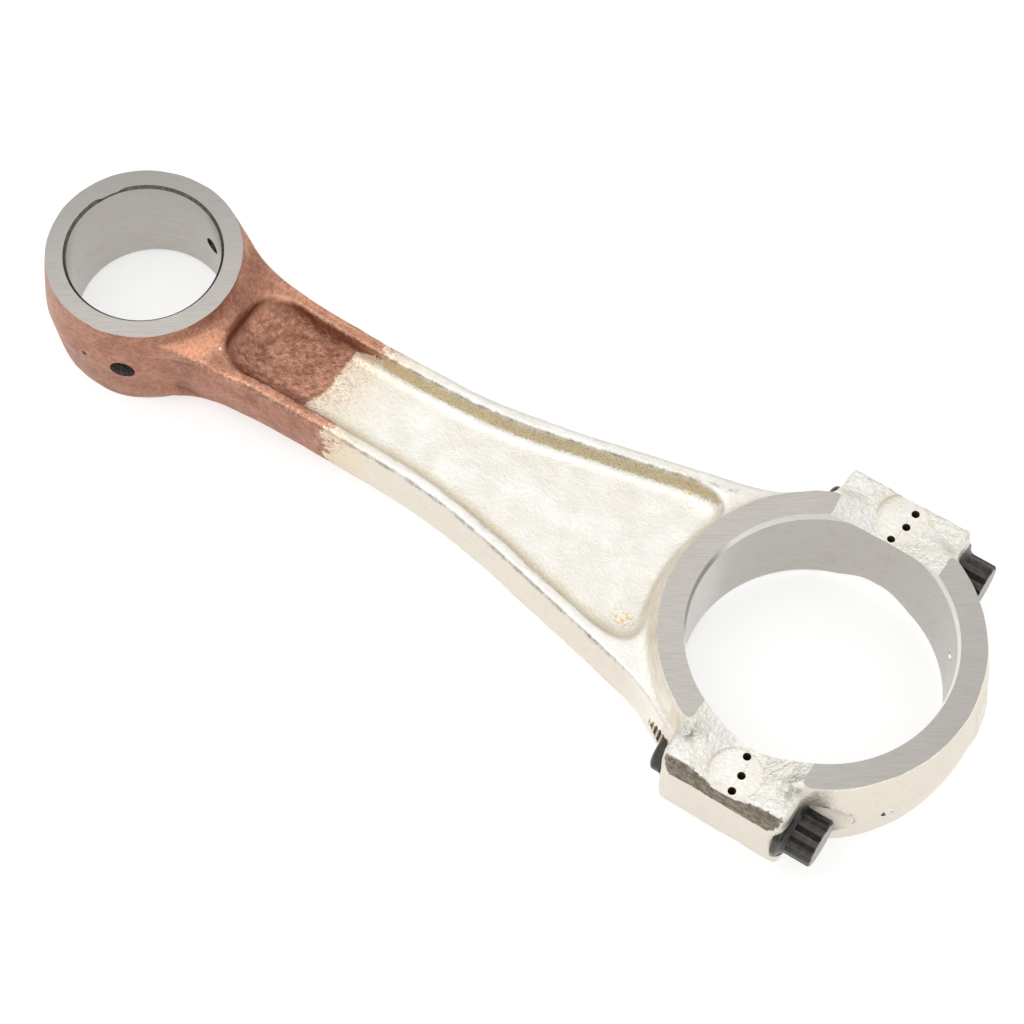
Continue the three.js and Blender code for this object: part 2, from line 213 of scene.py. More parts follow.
def surface(field, low, high, cell=0.5):
    """The field's zero surface between two corners, as points and quads, by surface nets."""
    axes = [np.arange(a, b + cell, cell) for a, b in zip(low, high)]
    values = field(*np.meshgrid(*axes, indexing="ij")).astype(np.float32)
    inside = values < 0
    shape = np.array(values.shape) - 1
    corners = [np.array(c) for c in itertools.product((0, 1), repeat=3)]
    count = np.zeros(shape, np.int8)
    for c in corners:
        count += inside[tuple(slice(o, o + n) for o, n in zip(c, shape))]
    active = (count > 0) & (count < 8)
    cells = np.argwhere(active)
    ids = np.full(shape, -1, np.int64)
    ids[active] = np.arange(len(cells))
    total, hits = np.zeros((len(cells), 3)), np.zeros(len(cells))
    for a, b in itertools.combinations(corners, 2):
        if np.abs(a - b).sum() != 1:
            continue
        va, vb = values[tuple((cells + a).T)], values[tuple((cells + b).T)]
        cross = (va < 0) != (vb < 0)
        t = np.where(cross, va / np.where(cross, va - vb, 1), 0)
        total += (a + t[:, None] * (b - a)) * cross[:, None]
        hits += cross
    points = (cells + total / hits[:, None]) * cell + np.array(low)
    quads = []
    for axis in range(3):
        right, up = np.eye(3, dtype=int)[(axis + 1) % 3], np.eye(3, dtype=int)[(axis + 2) % 3]
        ahead = np.eye(3, dtype=int)[axis]
        here = inside[tuple(slice(0, n - s) for n, s in zip(inside.shape, ahead))]
        there = inside[tuple(slice(s, None) for s in ahead)]
        for out, found in ((True, here & ~there), (False, ~here & there)):
            edge = np.argwhere(found)
            ring = [edge - right - up, edge - up, edge, edge - right]
            ring = [ids[tuple(r.T)] for r in (ring if out else ring[::-1])]
            quads.append(np.stack(ring, 1))
    quads = np.concatenate(quads)
    for _ in range(3):
        slope = slope_of(field, points)
        push = field(*points.T) / np.maximum((slope**2).sum(1), 0.2)
        points = points - np.clip(push, -cell / 2, cell / 2)[:, None] * slope
    return points, quads


# ---- Meshes -------------------------------------------------------------------------------------


def to_frame(points):
    return np.asarray(points, float) * MM + np.array(ORIGIN)


def mesh_object(name, points, faces, materials, indices=None):
    """An object of points in the rod's axes, in millimetres."""
    mesh = bpy.data.meshes.new(name)
    mesh.from_pydata(to_frame(points), [], [tuple(f) for f in faces])
    for material in materials:
        mesh.materials.append(material)
    if indices is not None:
        mesh.polygons.foreach_set("material_index", np.asarray(indices, np.int32))
    mesh.update()
    made = bpy.data.objects.new(name, mesh)
    bpy.context.scene.collection.objects.link(made)
    return made


def stack(rings, place=Matrix.Identity(4)):
    """A closed solid of rings about local Z, from the bottom up. Each is (height, radius or radii)."""
    columns = max(len(np.atleast_1d(r)) for _, r in rings)
    turn = np.arange(columns) * 2 * math.pi / columns
    points = [(0, 0, rings[0][0])]
    for height, radius in rings:
        radii = np.broadcast_to(radius, columns)
        points += zip(radii * np.cos(turn), radii * np.sin(turn), np.full(columns, height))
    points.append((0, 0, rings[-1][0]))
    faces, last = [], len(points) - 1
    for i in range(columns):
        j = (i + 1) % columns
        faces.append((0, 1 + j, 1 + i))
        for level in range(len(rings) - 1):
            low = 1 + level * columns
            faces.append((low + i, low + j, low + columns + j, low + columns + i))
        top = 1 + (len(rings) - 1) * columns
        faces.append((top + i, top + j, last))
    matrix = np.array(place, float)
    return np.array(points) @ matrix[:3, :3].T + matrix[:3, 3], faces


def round_rings(profile, columns):
    return [(h, np.full(columns, float(r))) for h, r in profile]


def join(parts):
    """Several (points, faces) as one."""
    points, faces, start = [], [], 0
    for some, rings in parts:
        points.append(some)
        faces += [tuple(start + i for i in f) for f in rings]
        start += len(some)
    return np.concatenate(points), faces


def box(low, high):
    corners = np.array(list(itertools.product(*zip(low, high))), float)
    faces = [(0, 1, 3, 2), (4, 6, 7, 5), (0, 4, 5, 1), (2, 3, 7, 6), (0, 2, 6, 4), (1, 5, 7, 3)]
    return corners, faces


def along_x(y=0.0, z=0.0):
    """Local Z becomes +X, on a line through (y, z)."""
    return Matrix.Translation((0, y, z)) @ Matrix(((0, 0, 1, 0), (1, 0, 0, 0), (0, 1, 0, 0), (0, 0, 0, 1)))


def outwards(x, angle, z=0.0):
    """Local Z becomes the direction at that angle in plan, from the point (x, 0, z)."""
    return Matrix.Translation((x, 0, z)) @ Matrix.Rotation(angle, 4, "Z") @ along_x()


def carve(target, cutters):
    """Cuts each (points, faces, material) from the target, whose new faces take the cutter's material."""
    tools = []
    for number, (points, faces, material) in enumerate(cutters):
        tool = mesh_object(f"tool_{number}", points, faces, [material])
        modifier = target.modifiers.new(f"cut_{number}", "BOOLEAN")
        modifier.operation = "DIFFERENCE"
        modifier.solver = "MANIFOLD"
        modifier.material_mode = "TRANSFER"
        modifier.object = tool
        tools.append(tool)
    bpy.context.view_layer.update()
    result = bpy.data.meshes.new_from_object(target.evaluated_get(bpy.context.evaluated_depsgraph_get()))
    target.modifiers.clear()
    old, target.data = target.data, result
    result.name = old.name
    bpy.data.meshes.remove(old)
    for tool in tools:
        mesh = tool.data
        bpy.data.objects.remove(tool)
        bpy.data.meshes.remove(mesh)


def crease(target, forged, forged_angle=40, cut_angle=11):
    """Shades the piece smooth, with sharp edges between materials and at corners. Says if it's closed.

    Faces of the material numbered forged stay smooth up to forged_angle, and all others up to cut_angle.
    """
    mesh = target.data
    mesh.polygons.foreach_set("use_smooth", np.ones(len(mesh.polygons), bool))
    loops = len(mesh.loops)
    edge = np.zeros(loops, np.int32)
    mesh.loops.foreach_get("edge_index", edge)
    starts, sizes = np.zeros(len(mesh.polygons), np.int32), np.zeros(len(mesh.polygons), np.int32)
    material = np.zeros(len(mesh.polygons), np.int32)
    normal = np.zeros(len(mesh.polygons) * 3, np.float32)
    mesh.polygons.foreach_get("loop_start", starts)
    mesh.polygons.foreach_get("loop_total", sizes)
    mesh.polygons.foreach_get("material_index", material)
    mesh.polygons.foreach_get("normal", normal)
    normal = normal.reshape(-1, 3)
    face = np.repeat(np.arange(len(sizes)), sizes)
    order = np.argsort(edge, kind="stable")
    first, second = order[0::2], order[1::2]
    sharp = np.zeros(len(mesh.edges), bool)
    if loops == 2 * len(mesh.edges):
        a, b = face[first], face[second]
        turn = np.degrees(np.arccos(np.clip((normal[a] * normal[b]).sum(1), -1, 1)))
        both_forged = (material[a] == forged) & (material[b] == forged)
        limit = np.where(both_forged, forged_angle, cut_angle)
        sharp[edge[first]] = (material[a] != material[b]) | (turn > limit)
    mesh.attributes.new("sharp_edge", "BOOLEAN", "EDGE").data.foreach_set("value", sharp)
    mesh.update()
    return loops == 2 * len(mesh.edges)


def own_points(target):
    """The piece's points in the rod's axes, in millimetres."""
    co = np.zeros(len(target.data.vertices) * 3, np.float32)
    target.data.vertices.foreach_get("co", co)
    return (co.reshape(-1, 3) - np.array(ORIGIN)) / MM


def note(target, name, values):
    target.data.attributes.new(name, "FLOAT", "POINT").data.foreach_set("value", values.astype(np.float32))


# ---- Materials ----------------------------------------------------------------------------------


class Shader:
    """A node material with helpers. Positions are in millimetres."""

    def __init__(self, name, metallic=1.0):
        self.material = bpy.data.materials.new(name)
        self.material.use_nodes = True
        self.tree = self.material.node_tree
        self.tree.nodes.clear()
        output = self.node("ShaderNodeOutputMaterial")
        self.surface = self.node("ShaderNodeBsdfPrincipled")
        self.tree.links.new(self.surface.outputs["BSDF"], output.inputs["Surface"])
        self.surface.inputs["Metallic"].default_value = metallic
        where = self.node("ShaderNodeVectorMath", operation="SCALE")
        self.tree.links.new(self.node("ShaderNodeTexCoord").outputs["Object"], where.inputs[0])
        where.inputs["Scale"].default_value = 1 / MM
        self.where = where.outputs[0]

    def node(self, kind, **settings):
        made = self.tree.nodes.new(kind)
        for name, value in settings.items():
            setattr(made, name, value)
        return made

    def put(self, socket, value):
        if isinstance(value, bpy.types.NodeSocket):
            self.tree.links.new(value, socket)
        elif hasattr(socket.default_value, "__len__") and len(value) == 3 and len(socket.default_value) == 4:
            socket.default_value = (*value, 1)
        else:
            socket.default_value = value

    def math(self, operation, a, b=0.0, clamp=False):
        made = self.node("ShaderNodeMath", operation=operation, use_clamp=clamp)
        self.put(made.inputs[0], a)
        self.put(made.inputs[1], b)
        return made.outputs[0]

    def mix(self, share, a, b):
        made = self.node("ShaderNodeMix", data_type="RGBA")
        self.put(made.inputs["Factor"], share)
        self.put(made.inputs["A"], a)
        self.put(made.inputs["B"], b)
        return made.outputs["Result"]

    def step(self, value, low, high, a=0.0, b=1.0):
        made = self.node("ShaderNodeMapRange", interpolation_type="SMOOTHSTEP")
        ends = {"From Min": low, "From Max": high, "To Min": a, "To Max": b}
        for name, v in {"Value": value, **ends}.items():
            self.put(made.inputs[name], v)
        return made.outputs["Result"]

    def plus(self, a, b, share):
        """a, and a share of b."""
        return self.math("ADD", a, self.math("MULTIPLY", b, share))

    def stretched(self, stretch):
        made = self.node("ShaderNodeVectorMath", operation="MULTIPLY")
        self.put(made.inputs[0], self.where)
        made.inputs[1].default_value = stretch
        return made.outputs[0]

    def noise(self, size, detail=2.0, roughness=0.5, stretch=(1, 1, 1), distortion=0.0):
        """Noise with features of that size in millimetres."""
        made = self.node("ShaderNodeTexNoise")
        self.put(made.inputs["Vector"], self.stretched(stretch))
        made.inputs["Scale"].default_value = 1 / size
        made.inputs["Detail"].default_value = detail
        made.inputs["Roughness"].default_value = roughness
        made.inputs["Distortion"].default_value = distortion
        return made.outputs["Fac"]

    def cells(self, size):
        made = self.node("ShaderNodeTexVoronoi", feature="F1")
        self.put(made.inputs["Vector"], self.stretched((1, 1, 1)))
        made.inputs["Scale"].default_value = 1 / size
        return made.outputs["Distance"]

    def attribute(self, name):
        return self.node("ShaderNodeAttribute", attribute_name=name).outputs["Fac"]

    def bump(self, height, strength, depth):
        """Bumps of that depth in millimetres."""
        made = self.node("ShaderNodeBump")
        made.inputs["Strength"].default_value = strength
        made.inputs["Distance"].default_value = depth * MM
        self.put(made.inputs["Height"], height)
        return made.outputs["Normal"]

    def finish(self, colour, roughness, normal=None):
        self.put(self.surface.inputs["Base Color"], colour)
        self.put(self.surface.inputs["Roughness"], roughness)
        if normal is not None:
            self.put(self.surface.inputs["Normal"], normal)
        return self.material


def times(share, colour):
    return tuple(share * c for c in colour)


SILVER = (0.87, 0.84, 0.765)
SILVER_WHITE = (0.95, 0.93, 0.885)
SILVER_SHADE = (0.60, 0.56, 0.47)
FLANK_PAINTED_SHADE = (0.70, 0.625, 0.515)
TAN = (0.84, 0.73, 0.50)
TAN_GREY = (0.82, 0.70, 0.46)
GREY = (0.36, 0.335, 0.28)
RUST = (0.80, 0.55, 0.14)
COPPER = (0.45, 0.205, 0.135)
COPPER_PALE = (0.66, 0.36, 0.255)
COPPER_DARK = (0.20, 0.085, 0.055)
COPPER_PAINTED_GLINT = (0.97, 0.62, 0.46)
COPPER_PAINTED_HIGHLIGHT = (1.0, 0.50, 0.31)
SCALE = (0.15, 0.13, 0.10)
DIRT_AND_SHADE = (0.31, 0.27, 0.21)
STEEL = (0.545, 0.515, 0.48)
STEEL_PALE = (0.58, 0.54, 0.50)
STEEL_PAINTED_SHADE = (0.33, 0.315, 0.30)
BORE_STAIN = (0.44, 0.37, 0.34)
BORE_PAINTED_LIGHT = (0.68, 0.645, 0.625)
# The near-white chamfer colours are a painted reflection.
CHAMFER_WHITE = (1.0, 0.985, 0.96)
CHAMFER_PALE = (0.88, 0.865, 0.84)
CHAMFER_PAINTED_SHADE = (0.30, 0.29, 0.25)
CHAMFER_BLACK = (0.10, 0.09, 0.08)
CHAMFER_DARK = (0.19, 0.175, 0.155)
SEAT = (0.88, 0.84, 0.77)
SEAT_SHADE = (0.78, 0.72, 0.62)
MARK_BROWN = (0.12, 0.075, 0.04)
MARK_PALE = (0.26, 0.17, 0.10)
OIL_BLACK = (0.06, 0.055, 0.05)
OIL_GREY = (0.16, 0.14, 0.125)
THREAD_BROWN = (0.32, 0.19, 0.10)
THREAD_DARK = (0.16, 0.09, 0.045)
THREAD_CREST = (0.98, 0.94, 0.86)
BREAK = (0.50, 0.49, 0.48)
BREAK_SHADE = (0.34, 0.33, 0.325)
OXIDE = (0.036, 0.034, 0.033)
OXIDE_PALE = (0.088, 0.082, 0.078)
OXIDE_WORN = (0.34, 0.32, 0.31)
OXIDE_SPECK = (0.42, 0.41, 0.40)
FLOOR = (0.50, 0.50, 0.495)
FLOOR_PALE = (0.515, 0.515, 0.51)


def plating(name):
    """Silver plate over a forged skin, which thins out to a copper strike towards the small end."""
    s = Shader(name)
    blotch = s.noise(5.0, 3)
    peel = s.noise(0.9, 4, 0.62, distortion=0.35)
    fine = s.noise(0.30, 3, 0.6)
    speckle = s.noise(0.55, 4, 0.7)
    ragged = s.step(speckle, 0.3, 0.7, -0.45, 0.45)
    skin = s.attribute("skin")
    # Painted shade in the low parts of the forged grain, on the silver and on the copper.
    low = s.math("MULTIPLY", s.step(peel, 0.46, 0.30), skin)
    # the silver plate
    silver = s.mix(s.step(blotch, 0.35, 0.7), SILVER, SILVER_WHITE)
    # Painted shade on steep sides, broken up by speckle.
    flank_shade = s.math("MULTIPLY", s.attribute("flank_shade"), s.step(speckle, 0.2, 0.6, 1.0, 0.6))
    silver = s.mix(flank_shade, silver, FLANK_PAINTED_SHADE)
    tan = s.step(s.plus(s.attribute("tan"), ragged, 0.5), 0.15, 0.9)
    silver = s.mix(tan, silver, TAN)
    silver = s.mix(s.math("MULTIPLY", low, 0.22), silver, SILVER_SHADE)
    rust = s.step(s.math("ADD", s.attribute("rust"), ragged), 0.60, 0.9)
    silver = s.mix(rust, silver, RUST)
    wall = s.mix(s.step(s.noise(0.32, 4, 0.7), 0.26, 0.60), GREY, TAN_GREY)
    silver = s.mix(s.step(s.math("ADD", s.attribute("wall"), ragged), 0.35, 0.6), silver, wall)
    # the copper strike
    copper = s.mix(s.step(s.noise(1.0, 6, 0.75), 0.38, 0.66), COPPER, COPPER_PALE)
    copper = s.mix(s.step(blotch, 0.45, 0.8, 0, 0.35), copper, COPPER_DARK)
    copper = s.mix(s.math("MULTIPLY", low, 0.6), copper, COPPER_DARK)
    # Painted glints from fine noise.
    copper = s.mix(s.step(fine, 0.60, 0.74, 0, 0.4), copper, COPPER_PAINTED_GLINT)
    # Painted highlight: a lighter patch on the near ramp and highlight lines along the flange ridges.
    painted_highlight = s.step(s.plus(s.attribute("painted_bright"), ragged, 0.7), 0.05, 0.95, 0, 0.85)
    copper = s.mix(painted_highlight, copper, COPPER_PAINTED_HIGHLIGHT)
    # Painted shade on the copper: in hollows, low on the small end and on the far ramp.
    copper = s.mix(s.attribute("copper_painted_shade"), copper, COPPER_DARK)
    # Painted shade on steep copper sides.
    copper = s.mix(s.math("MULTIPLY", s.attribute("flank_shade"), 0.34), copper, COPPER_DARK)
    # the ragged edge between them
    reach = s.attribute("copper")
    tongue = s.math("ADD", s.step(s.noise(3.5, 5, 0.72), 0.25, 0.75, -1, 1), ragged)
    edge = s.math("ADD", reach, s.math("MULTIPLY", tongue, s.attribute("ragged")))
    share = s.step(edge, -0.5, 0.5)
    halo = s.math("MULTIPLY", s.step(edge, -9.0, 0.0), s.step(speckle, 0.46, 0.62, 0, 0.75))
    thin = s.math("MULTIPLY", s.step(edge, -16.0, -1.0), 0.55)
    colour = s.mix(share, s.mix(halo, s.mix(thin, silver, TAN), COPPER_PALE), copper)
    # Dirt, painted shade in folds, dark lines with painted shadow, and wear with painted highlights, over
    # both
    streaks = s.noise(0.6, 5, 0.75, stretch=(0.45, 1, 1))
    dirt_and_shade = s.mix(s.step(streaks, 0.40, 0.62), SCALE, DIRT_AND_SHADE)
    dirt_and_shade = s.mix(s.step(fine, 0.60, 0.72, 0, 0.45), dirt_and_shade, TAN_GREY)
    colour = s.mix(s.step(s.plus(s.attribute("dirt_and_fold_shade"), ragged, 0.6), 0.3, 0.6), colour, dirt_and_shade)
    broken_up = s.step(s.noise(2.4, 5, 0.75), 0.42, 0.58, 0.1, 0.75)
    # Dark lines along the flanges, with painted shadow round the bolt seats and painted shade on the near
    # boss's shoulders.
    line = s.math("MULTIPLY", s.attribute("dark_lines_and_shade"), broken_up)
    colour = s.mix(line, colour, SCALE)
    # Worn edges, partly worn through the plate and partly painted highlight on ridges and round the thrust
    # faces.
    worn = s.math("MULTIPLY", s.attribute("edge"), s.step(speckle, 0.42, 0.6))
    bare_and_highlit = s.mix(share, SILVER_WHITE, COPPER_PAINTED_GLINT)
    colour = s.mix(s.math("MULTIPLY", worn, 0.55), colour, bare_and_highlit)
    # surface
    rough = s.step(blotch, 0.3, 0.7, 0.34, 0.44)
    rough = s.math("ADD", rough, s.math("MULTIPLY", share, 0.04), clamp=True)
    height = s.math("ADD", s.math("MULTIPLY", peel, skin), s.math("MULTIPLY", fine, 0.25))
    return s.finish(colour, rough, s.bump(height, 0.9, 0.30))


def ground(name):
    """Face-ground steel, with fine straight lines and painted shade across each end."""
    s = Shader(name)
    along_lines = s.node("ShaderNodeVectorRotate", rotation_type="Z_AXIS")
    s.put(along_lines.inputs["Vector"], s.where)
    along_lines.inputs["Angle"].default_value = math.radians(-33)
    s.where = along_lines.outputs[0]
    lines = s.noise(0.24, 3, 0.6, stretch=(0.06, 1.0, 1.0))
    broad = s.noise(3.0, 3)
    colour = s.mix(s.step(lines, 0.3, 0.7), times(0.90, STEEL), times(1.09, STEEL))
    colour = s.mix(s.step(broad, 0.3, 0.75, 0, 0.35), colour, STEEL_PALE)
    # Painted shade across each end's ground faces.
    colour = s.mix(s.attribute("steel_shade"), colour, STEEL_PAINTED_SHADE)
    return s.finish(colour, s.step(lines, 0.25, 0.75, 0.30, 0.42), s.bump(lines, 0.5, 0.03))


def honed(name):
    """Bored and honed steel, with faint rings, a few tan stains, and painted light on the left of the big
    bore.
    """
    s = Shader(name)
    rings = s.noise(0.28, 3, 0.6, stretch=(0.05, 0.05, 1.0))
    stain = s.noise(6.0, 4, 0.6)
    colour = s.mix(s.step(rings, 0.3, 0.7), times(0.82, STEEL), times(0.93, STEEL))
    colour = s.mix(s.step(stain, 0.52, 0.74, 0, 0.45), colour, BORE_STAIN)
    # Painted light on the bore wall on the left of the big bore.
    colour = s.mix(s.math("MULTIPLY", s.attribute("left"), 0.6), colour, BORE_PAINTED_LIGHT)
    return s.finish(colour, s.step(rings, 0.25, 0.75, 0.24, 0.36), s.bump(rings, 0.3, 0.02))


def turned(name, colour, other):
    """A turned chamfer, with fine rings, and painted shade on the left of the big end."""
    s = Shader(name)
    rings = s.noise(0.3, 3, 0.6, stretch=(0.3, 0.3, 1.0))
    # Painted shade on the chamfer on the left of the big bore.
    shade = s.mix(s.attribute("left"), s.mix(s.step(rings, 0.3, 0.7), colour, other), CHAMFER_PAINTED_SHADE)
    return s.finish(shade, 0.34, s.bump(rings, 0.3, 0.03))


def seat_metal(name):
    """Spot-faced and milled places that were plated afterwards."""
    s = Shader(name)
    marks = s.noise(0.3, 3)
    colour = s.mix(s.step(s.noise(2.0, 4), 0.35, 0.7), SEAT, SEAT_SHADE)
    return s.finish(colour, s.step(marks, 0.3, 0.7, 0.36, 0.5), s.bump(marks, 0.3, 0.05))


def dark_hole(name, colour, other, lands=None):
    """A dark hole, or a threaded one whose crests take the colour of lands."""
    s = Shader(name, metallic=0.6)
    patch = s.noise(0.5, 4)
    shade = s.mix(s.step(patch, 0.35, 0.65), colour, other)
    if lands is not None:
        across = s.node("ShaderNodeSeparateXYZ")
        s.put(across.inputs[0], s.where)
        wave = s.math("PINGPONG", across.outputs["X"], PITCH / 2)
        shade = s.mix(s.step(wave, 0.24, 0.36), shade, lands)
    return s.finish(shade, 0.6, s.bump(patch, 0.4, 0.05))


def broken(name):
    """The crystalline break between the rod and its cap."""
    s = Shader(name)
    facets = s.cells(0.5)
    height = s.math("ADD", facets, s.noise(0.8, 4, 0.7))
    colour = s.mix(s.step(facets, 0.1, 0.6), BREAK, BREAK_SHADE)
    return s.finish(colour, 0.5, s.bump(height, 0.8, 0.25))


def oxide(name):
    """Black oxide on an oiled bolt."""
    s = Shader(name, metallic=0.55)
    patch = s.noise(1.6, 4, 0.6)
    specks = s.step(s.noise(0.42, 2), 0.755, 0.79)
    colour = s.mix(s.step(patch, 0.3, 0.7), OXIDE, OXIDE_PALE)
    worn = s.math("MULTIPLY", s.attribute("worn"), s.step(patch, 0.35, 0.6, 0.4, 1.0))
    colour = s.mix(worn, colour, OXIDE_WORN)
    colour = s.mix(specks, colour, OXIDE_SPECK)
    rough = s.step(patch, 0.25, 0.75, 0.26, 0.38)
    return s.finish(colour, rough, s.bump(s.noise(0.5, 3), 0.12, 0.04))


look = {
    "rod": plating("rod_plating"),
    "cap": plating("cap_plating"),
    "ground": ground("ground_steel"),
    "honed": honed("honed_steel"),
    "seat": seat_metal("seat_steel"),
    "mark": dark_hole("mark_hole", MARK_BROWN, MARK_PALE),
    "oil": dark_hole("oil_hole", OIL_BLACK, OIL_GREY),
    "thread": dark_hole("tapped_thread", THREAD_BROWN, THREAD_DARK, THREAD_CREST),
    "painted_bright": turned("chamfer_painted_bright", CHAMFER_WHITE, CHAMFER_PALE),
    "dark": turned("dark_chamfer", CHAMFER_BLACK, CHAMFER_DARK),
    "break": broken("fracture"),
    "oxide": oxide("black_oxide"),
}


# ---- Cutters ------------------------------------------------------------------------------------

BORE_COLUMNS = 224


def bore_cutter(x, r, face_z):
    reach = face_z + 4
    return stack(round_rings([(-reach, r), (reach, r)], BORE_COLUMNS), Matrix.Translation((x, 0, 0)))


def chamfer_cutters(x, r, face_z, wide, deep, gap=None):
    """A cone at each end of a bore. The upper one nearly fades out between the two angles of gap."""
    inside = 0.4
    turn = np.arange(BORE_COLUMNS) * 360 / BORE_COLUMNS
    parts = []
    for side in (1, -1):
        widths = np.full(BORE_COLUMNS, float(wide))
        if gap is not None and side > 0:
            half = (gap[1] - gap[0]) / 2
            widths *= 0.12 + 0.88 * smoothstep(np.abs(turn - sum(gap) / 2), half - 4, half + 2)
        rings = [(side * (face_z - deep - inside), r - widths * inside / deep)]
        rings += [(side * face_z, r + widths), (side * (face_z + 4), r + widths)]
        parts.append(stack(rings if side > 0 else rings[::-1], Matrix.Translation((x, 0, 0))))
    return join(parts)


def thread_radii(height, crest, root, columns):
    """The radii of one ring through a right-handed thread at that height."""
    phase = (height / PITCH - np.arange(columns) / columns) % 1
    tooth = np.clip(1.25 - np.abs(phase - 0.5) * 2.9, 0, 1)
    return root + (crest - root) * tooth


def threaded_rings(x0, x1, crest, root, columns=72, fade_end=0.0):
    """Rings through a thread, whose crest fades out over the last fade_end before x1."""
    rings = []
    for h in np.arange(x0, x1 + 1e-6, PITCH / 12):
        top = crest if not fade_end else root + (crest - root) * smoothstep(h, x1, x1 - fade_end)
        rings.append((h, thread_radii(h, top, root, columns)))
    return rings


def tapped_hole(side):
    rings = threaded_rings(-20.6, BOSS_FRONT + 1, BOLT_R + 0.08, BOLT_R - 0.62)
    return stack(rings, along_x(side * BOLT_Y))


def cap_hole(side):
    profile = [(-4, CAP_HOLE_R), (SEAT_X + 1, CAP_HOLE_R)]
    return stack(round_rings(profile, 64), along_x(side * BOLT_Y))


def seat_cutter(side):
    profile = [(SEAT_X, SEAT_R - 0.35), (SEAT_X + 0.35, SEAT_R), (SEAT_X + 32, SEAT_R)]
    return stack(round_rings(profile, 96), along_x(side * BOLT_Y))


def upright(x, y, r, z0, z1, columns=48):
    return stack(round_rings([(z0, r), (z1, r)], columns), Matrix.Translation((x, y, 0)))


def mark_holes():
    """Three holes down the split line over each bolt, on the upper face."""
    lower = [(1.2, -33.3), (1.13, -29.9), (0.1, -26.2)]
    upper = [(0.2, 25.5), (1.35, 29.2), (1.47, 32.5)]
    return join([upright(x, y, MARK_R, 4.9, 14, 24) for x, y in lower + upper])


def ball(r, place, flat=1.0):
    steps = np.linspace(-math.pi / 2, math.pi / 2, 13)[1:-1]
    return stack(round_rings([(flat * r * math.sin(a), r * math.cos(a)) for a in steps], 24), place)


def ball_on_wall(r, x, angle, z, wall_r):
    """A ball at that radius from the axis of a bore at x."""
    place = outwards(x, math.radians(angle), z) @ Matrix.Translation((0, 0, wall_r))
    return ball(r, place)


def oil_cutter(side):
    profile = [(SMALL_BORE_R - 2, 1.72), (SMALL_BORE_R + 1.2, 1.78)]
    profile += [(SMALL_WALL_R - 0.3, 2.45), (SMALL_WALL_R + 3, 3.2)]
    return stack(round_rings(profile, 40), outwards(SMALL_X, side * OIL_ANGLE))


def break_block(towards, gap=0.03, cell=0.5):
    """All the space on one side of the rough split between the rod and its cap."""
    ys = np.arange(-BOSS_Y - 2, BOSS_Y + 2 + cell, cell)
    zs = np.arange(-BIG_FACE_Z - 2, BIG_FACE_Z + 2 + cell, cell)
    y, z = np.meshgrid(ys, zs, indexing="ij")
    rough = 0.30 * hammer(0 * y, y, z, 2.4) + 0.10 * grain(0 * y, y, z, 0.9)
    broken_side = np.stack([SPLIT_X + rough + towards * gap / 2, y, z], -1).reshape(-1, 3)
    far_side = broken_side.copy()
    far_side[:, 0] = SPLIT_X + towards * 60
    count = len(broken_side)
    rows, columns = y.shape
    number = np.arange(rows * columns).reshape(rows, columns)
    a, b, c, d = number[:-1, :-1], number[1:, :-1], number[1:, 1:], number[:-1, 1:]
    front = np.stack([a, d, c, b], -1).reshape(-1, 4)
    back = front[:, ::-1] + count
    around = np.concatenate([number[:, 0], number[-1, 1:], number[-2::-1, -1], number[0, -2:0:-1]])
    after = np.roll(around, -1)
    sides = np.stack([around, after, after + count, around + count], 1)
    faces = np.concatenate([front, back, sides])
    if towards < 0:
        faces = faces[:, ::-1]
    return np.concatenate([broken_side, far_side]), faces


def bore_group():
    return join([bore_cutter(0, BIG_BORE_R, BIG_FACE_Z), bore_cutter(SMALL_X, SMALL_BORE_R, SMALL_FACE_Z)])


def face_group():
    parts = []
    for side in (1, -1):
        for x0, x1, z in ((-60, 50, BIG_FACE_Z), (-180, -61, SMALL_FACE_Z)):
            low, high = sorted((side * z, side * (z + 6)))
            parts.append(box((x0, -50, low), (x1, 50, high)))
    return join(parts)


def pad_group():
    depths = ((PAD_Z, 15), (-15, -PAD_Z))
    return join([upright(0, side * BOLT_Y, PAD_R, *z) for side in (1, -1) for z in depths])


common = [
    (*face_group(), look["ground"]),
    (*bore_group(), look["honed"]),
    (*chamfer_cutters(0, BIG_BORE_R, BIG_FACE_Z, BIG_CHAMFER, BIG_CHAMFER_DEEP), look["painted_bright"]),
]
SMALL_BORE = (SMALL_X, SMALL_BORE_R, SMALL_FACE_Z)


def make_rod():
    """The forging up to just past the split, then its cuts."""

    def field(x, y, z):
        return np.maximum(forging(x, y, z), x - 4)

    points, quads = surface(field, (-172, -38, -14), (5, 38, 14), cell=0.54)
    piece = mesh_object("rod_forging", points, quads, [look["rod"]])
    threads = join([tapped_hole(1), tapped_hole(-1)])
    oil = join([oil_cutter(1), oil_cutter(-1)])
    chamfer = chamfer_cutters(*SMALL_BORE, SMALL_CHAMFER, SMALL_CHAMFER, SMALL_GAP)
    scratch = ball_on_wall(0.75, SMALL_X, -92.3, 1.1, SMALL_WALL_R + 0.45)
    # The nick takes the painted near-white of the chamfer material.
    nick = ball(0.55, Matrix.Translation((-127.0, -7.5, 6.9)), 0.7)
    cuts = common + [
        (*chamfer, look["dark"]),
        (*nick, look["painted_bright"]),
        (*scratch, look["oil"]),
        (*pad_group(), look["rod"]),
        (*mark_holes(), look["mark"]),
        (*threads, look["thread"]),
        (*oil, look["oil"]),
        (*break_block(1), look["break"]),
    ]
    carve(piece, cuts)
    return piece


